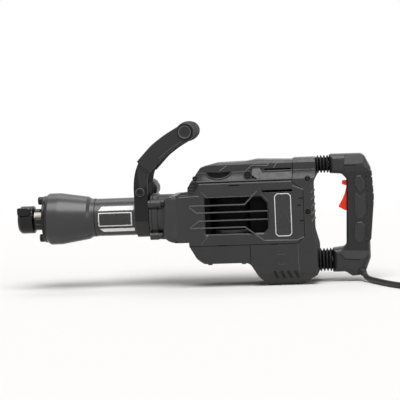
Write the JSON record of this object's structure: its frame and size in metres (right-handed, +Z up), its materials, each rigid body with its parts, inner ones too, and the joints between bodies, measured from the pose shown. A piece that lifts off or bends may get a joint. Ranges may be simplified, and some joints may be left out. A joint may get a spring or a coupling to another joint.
{
  "type": "electric demolition hammer",
  "caption": "Electric demolition hammer with a hex tool socket, a belled front cover, a ribbed body, a swivelling side handle and a sprung rear handle with a trigger.",
  "frame": {"origin": "on the flat foot of the belly, right below the upright motor axis", "axes": "+X from the tool nose to the rear handle, along the hammer axis; +Z up, away from the foot; -Y is the side with the oil cap"},
  "size_m": [0.9736, 0.3161, 0.3274],
  "materials": {
    "black_steel": "black oxide, satin",
    "grey_casting": "dark grey enamel, satin",
    "bright_steel": "ground and oiled",
    "dark_plastic": "fine spark texture",
    "soft_rubber": "matt",
    "red_plastic": "semi-gloss"
  },
  "bodies": {
    "body": {"tool_holder": "black_steel", "front_cover": "grey_casting", "front_bolt_far": "black_steel", "front_bolt_top": "black_steel", "front_bolt_near": "black_steel", "front_bolt_bottom": "black_steel", "barrel": "grey_casting", "impact_bolt_guide": "bright_steel", "buffer_ring": "soft_rubber", "cylinder_sleeve": "bright_steel", "crank_bearing": "bright_steel", "idler_bearing": "bright_steel", "motor_top_bearing": "bright_steel", "motor_foot_bearing": "bright_steel", "stator": "grey_casting", "brush_carrier": "dark_plastic", "crankcase": "grey_casting", "sump_plate": "grey_casting", "lower_housing": "dark_plastic", "gear_cover": "dark_plastic", "side_cover_near": "dark_plastic", "side_cover_far": "dark_plastic", "tail_cover": "dark_plastic", "oil_cap": "dark_plastic", "bellows_upper": "soft_rubber", "bellows_lower": "soft_rubber", "damper_spring_upper": "bright_steel", "damper_spring_lower": "bright_steel"},
    "retainer": {"retainer_lever": "black_steel"},
    "anvil": {"impact_bolt": "bright_steel"},
    "striker": {"striker": "bright_steel"},
    "piston": {"piston": "bright_steel", "wrist_pin": "bright_steel"},
    "rod": {"connecting_rod": "bright_steel", "crank_pin": "bright_steel"},
    "crank": {"crankshaft": "bright_steel", "crank_gear": "bright_steel"},
    "idler": {"intermediate_gear": "bright_steel"},
    "rotor": {"armature": "bright_steel", "cooling_fan": "dark_plastic"},
    "rear_handle": {"handle_near": "dark_plastic", "handle_far": "dark_plastic", "grip_back_pad": "soft_rubber", "switch_body": "dark_plastic", "guide_rod_upper": "bright_steel", "guide_rod_lower": "bright_steel", "cord_guard": "soft_rubber", "cord": "soft_rubber", "cord_coil": "soft_rubber", "coil_tie": "soft_rubber", "plug": "soft_rubber"},
    "trigger": {"trigger": "red_plastic"},
    "side_handle": {"clamp_strap": "black_steel", "saddle_block": "black_steel", "clamp_bolt": "black_steel", "arm_near": "dark_plastic", "arm_far": "dark_plastic", "side_grip": "soft_rubber", "grip_rod": "black_steel"},
    "knob": {"clamp_knob": "dark_plastic"}
  },
  "joints": [
    {"name": "retainer_turn", "type": "hinge", "parent": "body", "child": "retainer", "pos_m": [-0.5095, 0, 0.1605], "axis": [0, 1, 0], "range_deg": [0, 180]},
    {"name": "anvil_slide", "type": "slide", "parent": "body", "child": "anvil", "axis": [1, 0, 0], "range_m": [-0.008, 0]},
    {"name": "striker_slide", "type": "slide", "parent": "body", "child": "striker", "axis": [1, 0, 0], "range_m": [-0.009, 0.013]},
    {"name": "piston_slide", "type": "slide", "parent": "body", "child": "piston", "axis": [1, 0, 0], "range_m": [0, 0.04]},
    {"name": "rod_swing", "type": "hinge", "parent": "piston", "child": "rod", "pos_m": [-0.21768, 0, 0.142], "axis": [0, 0, 1], "range_deg": [-11.5, 11.5]},
    {"name": "crank_spin", "type": "hinge", "parent": "body", "child": "crank", "pos_m": [-0.09767, 0, 0.142], "axis": [0, 0, 1], "continuous": true},
    {"name": "idler_spin", "type": "hinge", "parent": "body", "child": "idler", "pos_m": [-0.046, 0, 0.142], "axis": [0, 0, 1], "continuous": true},
    {"name": "rotor_spin", "type": "hinge", "parent": "body", "child": "rotor", "pos_m": [0, 0, 0.142], "axis": [0, 0, 1], "continuous": true},
    {"name": "rear_handle_slide", "type": "slide", "parent": "body", "child": "rear_handle", "axis": [1, 0, 0], "range_m": [-0.006, 0], "stiffness_N_per_m": 4000, "springref_m": 0.003, "deforming": ["bellows_upper", "bellows_lower", "damper_spring_upper", "damper_spring_lower"]},
    {"name": "trigger_pull", "type": "hinge", "parent": "rear_handle", "child": "trigger", "pos_m": [0.138, 0, 0.196], "axis": [0, -1, 0], "range_deg": [0, 12], "stiffness_Nm_per_rad": 0.6, "springref_deg": -8.59},
    {"name": "side_handle_swivel", "type": "hinge", "parent": "body", "child": "side_handle", "pos_m": [-0.2755, 0, 0.142], "axis": [1, 0, 0], "continuous": true},
    {"name": "knob_turn", "type": "hinge", "parent": "side_handle", "child": "knob", "pos_m": [-0.2755, 0, 0.192], "axis": [0, 1, 0], "continuous": true}
  ],
  "couplings": [
    {"joint": "idler_spin", "follows": "crank_spin", "ratio": -2.5455},
    {"joint": "rotor_spin", "follows": "crank_spin", "ratio": 7.6364}
  ]
}
